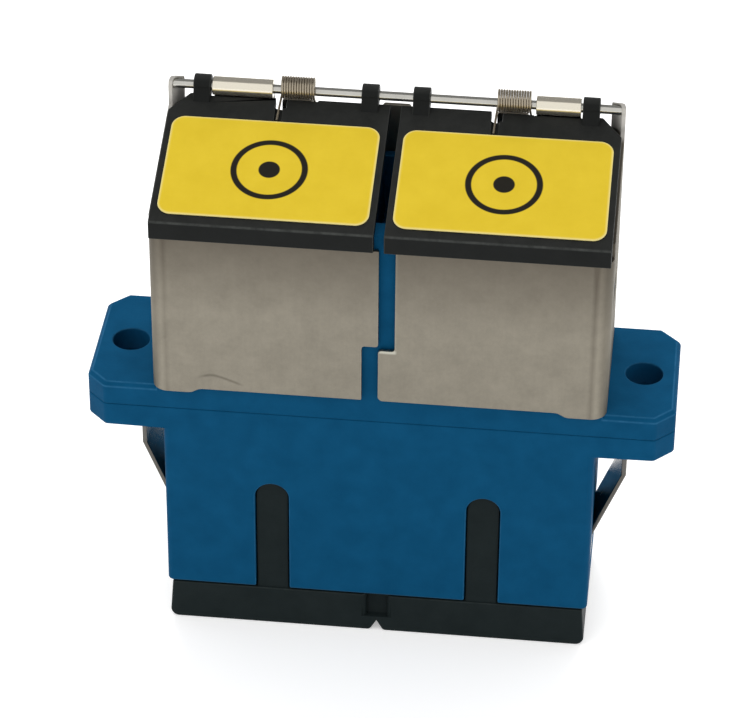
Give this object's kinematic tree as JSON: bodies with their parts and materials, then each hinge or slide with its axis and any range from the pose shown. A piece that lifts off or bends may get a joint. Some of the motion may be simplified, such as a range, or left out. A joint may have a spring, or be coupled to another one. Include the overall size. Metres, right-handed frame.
{
  "type": "duplex fibre adapter",
  "caption": "Flanged panel adapter joining paired square fibre plugs end to end, with sprung hinged shutters over the upper ports and a push-in dust cap below.",
  "frame": {"origin": "midway between the two screw holes, on the flange face that meets the panel", "axes": "+X along the flange, +Y from the keyed front face to the hinge side, +Z towards the shutters"},
  "size_m": [0.0348, 0.0105, 0.0336],
  "materials": {
    "housing_blue": "moulded, satin",
    "insert_white": "moulded, natural",
    "sleeve_ceramic": "ground zirconia",
    "frame_steel": "rolled stainless sheet, dull",
    "pin_steel": "drawn wire, bright",
    "spring_steel": "drawn wire, bronze-grey",
    "clip_steel": "rolled spring strip",
    "lid_black": "moulded, satin",
    "label_yellow": "printed film",
    "cap_black": "moulded, satin"
  },
  "bodies": {
    "adapter": {"hinge_pin": "pin_steel", "left_alignment_sleeve": "sleeve_ceramic", "left_lower_latch_insert": "insert_white", "left_spring": "spring_steel", "left_upper_latch_insert": "insert_white", "lower_housing": "housing_blue", "panel_clip": "clip_steel", "right_alignment_sleeve": "sleeve_ceramic", "right_lower_latch_insert": "insert_white", "right_spring": "spring_steel", "right_upper_latch_insert": "insert_white", "shutter_frame": "frame_steel", "upper_housing": "housing_blue"},
    "left_shutter": {"left_lid": "lid_black", "left_label": "label_yellow"},
    "right_shutter": {"right_lid": "lid_black", "right_label": "label_yellow"},
    "cap": {"dust_cap": "cap_black"}
  },
  "joints": [
    {"name": "left_lid_hinge", "type": "hinge", "parent": "adapter", "child": "left_shutter", "pos_m": [0, 0.00447, 0.01835], "axis": [-1, 0, 0], "range_deg": [0, 105], "stiffness_Nm_per_rad": 0.0002, "springref_deg": -45.84, "deforming": ["left_spring"]},
    {"name": "right_lid_hinge", "type": "hinge", "parent": "adapter", "child": "right_shutter", "pos_m": [0, 0.00447, 0.01835], "axis": [-1, 0, 0], "range_deg": [0, 105], "stiffness_Nm_per_rad": 0.0002, "springref_deg": -45.84, "deforming": ["right_spring"]},
    {"name": "cap_pull", "type": "slide", "parent": "adapter", "child": "cap", "axis": [0, 0, -1], "range_m": [0, 0.012]}
  ]
}
